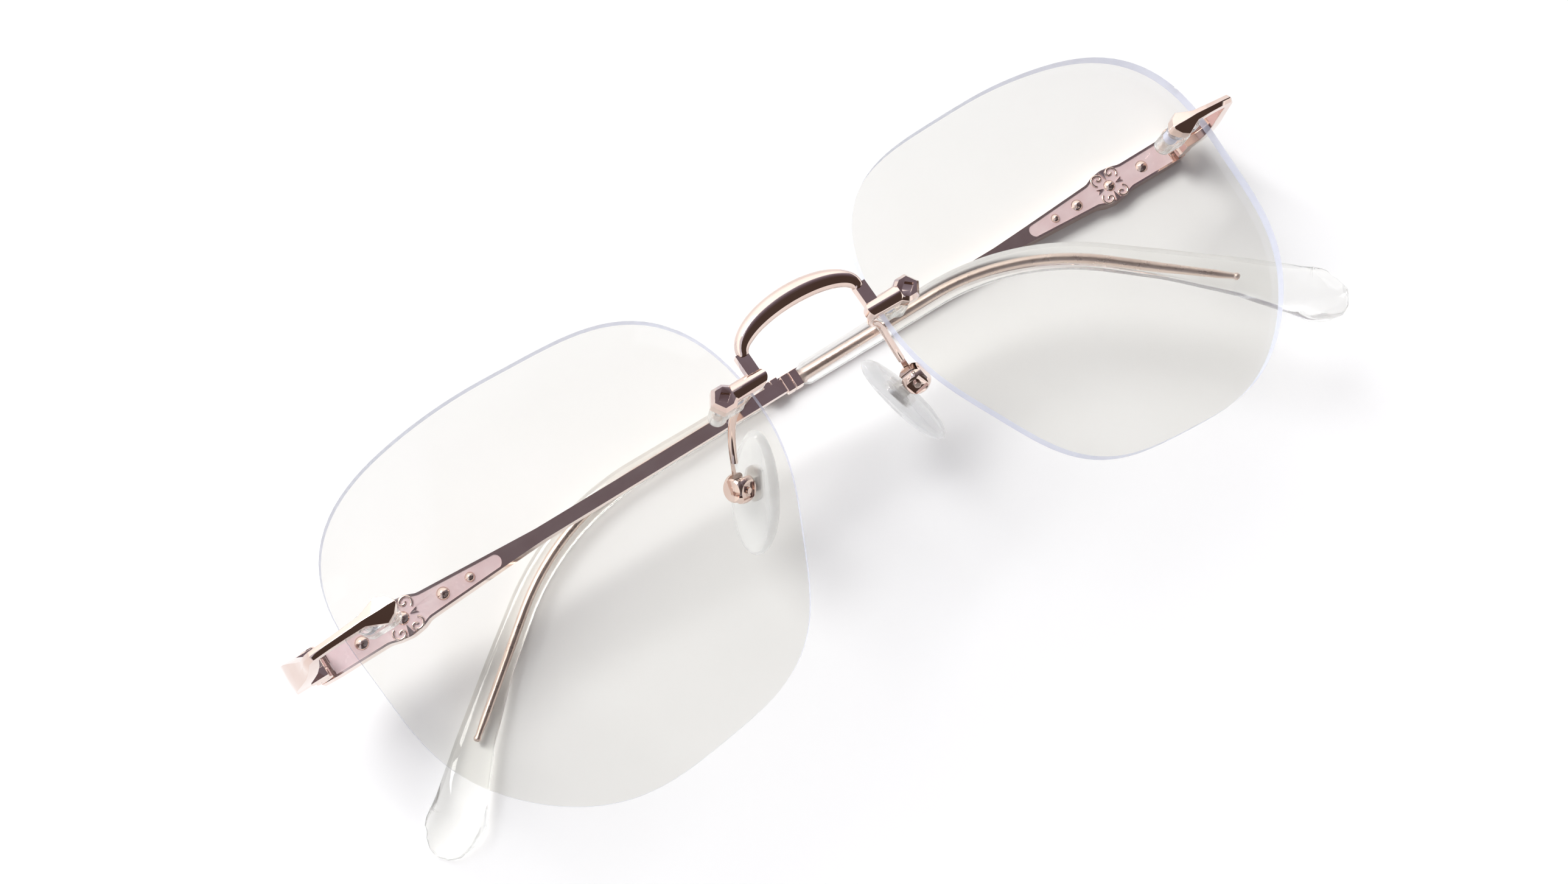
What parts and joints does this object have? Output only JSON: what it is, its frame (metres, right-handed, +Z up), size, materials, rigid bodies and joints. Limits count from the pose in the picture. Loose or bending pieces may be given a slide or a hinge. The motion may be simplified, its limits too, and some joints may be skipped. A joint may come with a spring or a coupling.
{
  "type": "rimless eyeglasses",
  "caption": "Rimless eyeglasses with rose-gold bridge and end pieces, clear nose pads, inlaid pink enamel temples and clear temple tips, shown folded.",
  "frame": {"origin": "centre of the overall box, on the surface that the folded glasses lie on", "axes": "+X across the front to the wearer's left, +Y towards the brow, +Z up, out of the lens fronts"},
  "size_m": [0.1444, 0.0512, 0.034],
  "materials": {
    "polished_rose_gold": "polished rose-gold plating",
    "pad_core_metal": "satin",
    "core_wire_metal": "satin rose-gold",
    "pink_enamel": "soft-gloss enamel",
    "lens_plastic": "clear, coated",
    "clear_sleeve": "clear",
    "clear_silicone": "clear, slightly milky",
    "clear_acetate": "clear, polished"
  },
  "bodies": {
    "front": {"bridge": "polished_rose_gold", "lens_right": "lens_plastic", "lens_left": "lens_plastic", "bridge_sleeve_right": "clear_sleeve", "bridge_sleeve_left": "clear_sleeve", "pad_arm_right": "polished_rose_gold", "pad_arm_left": "polished_rose_gold", "pad_screw_right": "polished_rose_gold", "pad_screw_left": "polished_rose_gold", "end_piece_right": "polished_rose_gold", "end_piece_left": "polished_rose_gold", "end_sleeve_right": "clear_sleeve", "end_sleeve_left": "clear_sleeve", "hinge_front_right": "polished_rose_gold", "hinge_front_left": "polished_rose_gold", "hinge_screw_right": "polished_rose_gold", "hinge_screw_left": "polished_rose_gold"},
    "temple_left": {"hinge_rear_left": "polished_rose_gold", "temple_bar_left": "polished_rose_gold", "enamel_left": "pink_enamel", "ferrule_left": "polished_rose_gold", "core_wire_left": "core_wire_metal", "temple_tip_left": "clear_acetate"},
    "temple_right": {"hinge_rear_right": "polished_rose_gold", "temple_bar_right": "polished_rose_gold", "enamel_right": "pink_enamel", "ferrule_right": "polished_rose_gold", "core_wire_right": "core_wire_metal", "temple_tip_right": "clear_acetate"},
    "pad_left": {"nose_pad_left": "clear_silicone", "pad_core_left": "pad_core_metal"},
    "pad_right": {"nose_pad_right": "clear_silicone", "pad_core_right": "pad_core_metal"}
  },
  "joints": [
    {"name": "temple_left_fold", "type": "hinge", "parent": "front", "child": "temple_left", "pos_m": [0.06839, 0.0099, 0.0035], "axis": [0, -1, 0], "range_deg": [0, 85]},
    {"name": "temple_right_fold", "type": "hinge", "parent": "front", "child": "temple_right", "pos_m": [-0.06869, 0.0099, 0.01549], "axis": [0, 1, 0], "range_deg": [0, 96.5]},
    {"name": "pad_left_rock", "type": "hinge", "parent": "front", "child": "pad_left", "pos_m": [0.0141, 0.0004, 0.01287], "axis": [0.3388, 0.6824, -0.6477], "range_deg": [-10, 10]},
    {"name": "pad_right_rock", "type": "hinge", "parent": "front", "child": "pad_right", "pos_m": [-0.01359, 0.0004, 0.01529], "axis": [-0.4462, 0.6824, -0.579], "range_deg": [-10, 10]}
  ],
  "couplings": [
    {"joint": "temple_right_fold", "follows": "temple_left_fold", "ratio": 1.135}
  ]
}
